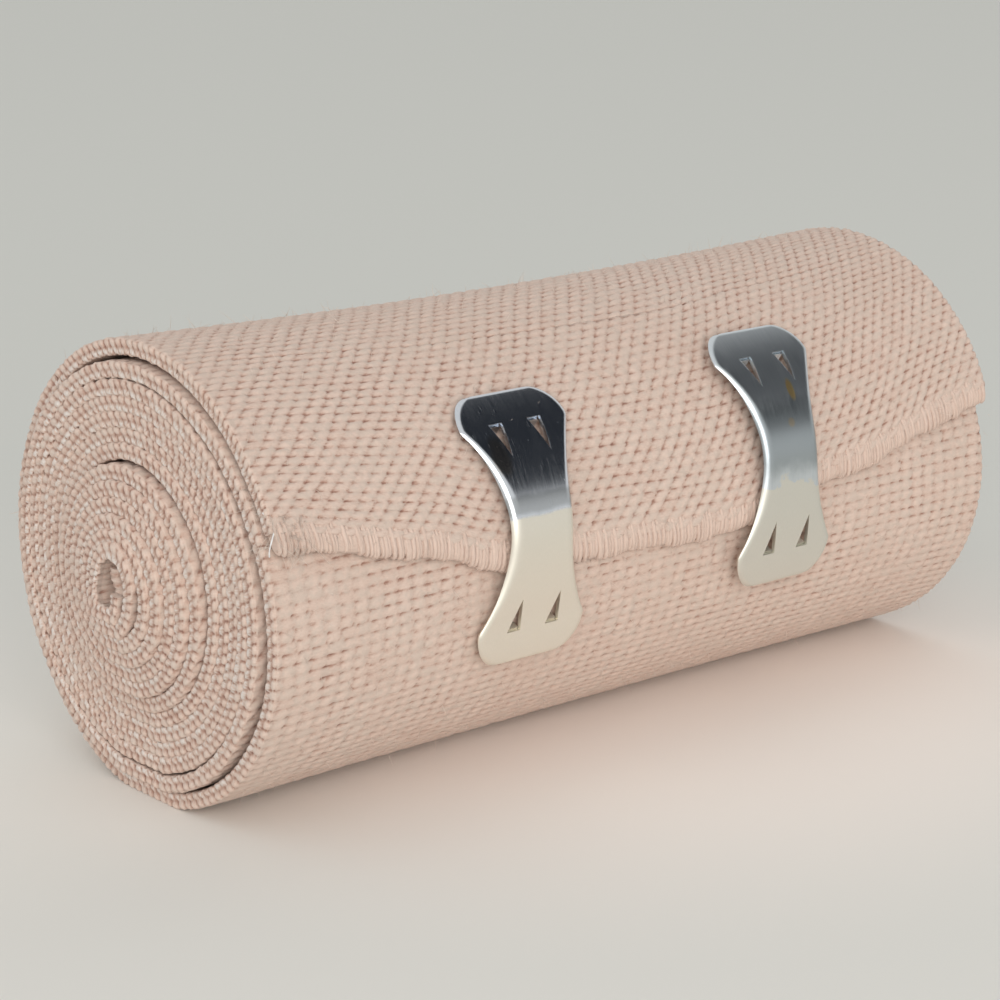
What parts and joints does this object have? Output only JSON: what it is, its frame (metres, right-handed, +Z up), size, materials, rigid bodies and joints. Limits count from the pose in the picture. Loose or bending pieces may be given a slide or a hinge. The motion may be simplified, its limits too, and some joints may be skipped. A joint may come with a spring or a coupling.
{
  "type": "rolled elastic bandage",
  "caption": "Woven elastic bandage wound into a roll, its whipped tail edge held down by stamped metal clips with teeth that hook into the cloth.",
  "frame": {"origin": "on the flat that the roll rests on, under the roll's axis, half way along the cloth's width at the outermost turn", "axes": "+X along the roll's axis, from the end where the core stands out to the other end; +Z up; the tail, its seam and the clips are on the -Y side"},
  "size_m": [0.0783, 0.0362, 0.035],
  "materials": {
    "woven_cloth": "matt, coarse brick-like elastic weave, pale beige pink",
    "overlock_thread": "matt wrapped thread, a shade paler than the cloth",
    "clip_metal": "stamped and polished, with fine scratches and a few stains"
  },
  "bodies": {
    "root": {"bandage_roll": "woven_cloth", "overlock_seam": "overlock_thread", "clip_near": "clip_metal", "clip_far": "clip_metal"}
  },
  "joints": []
}
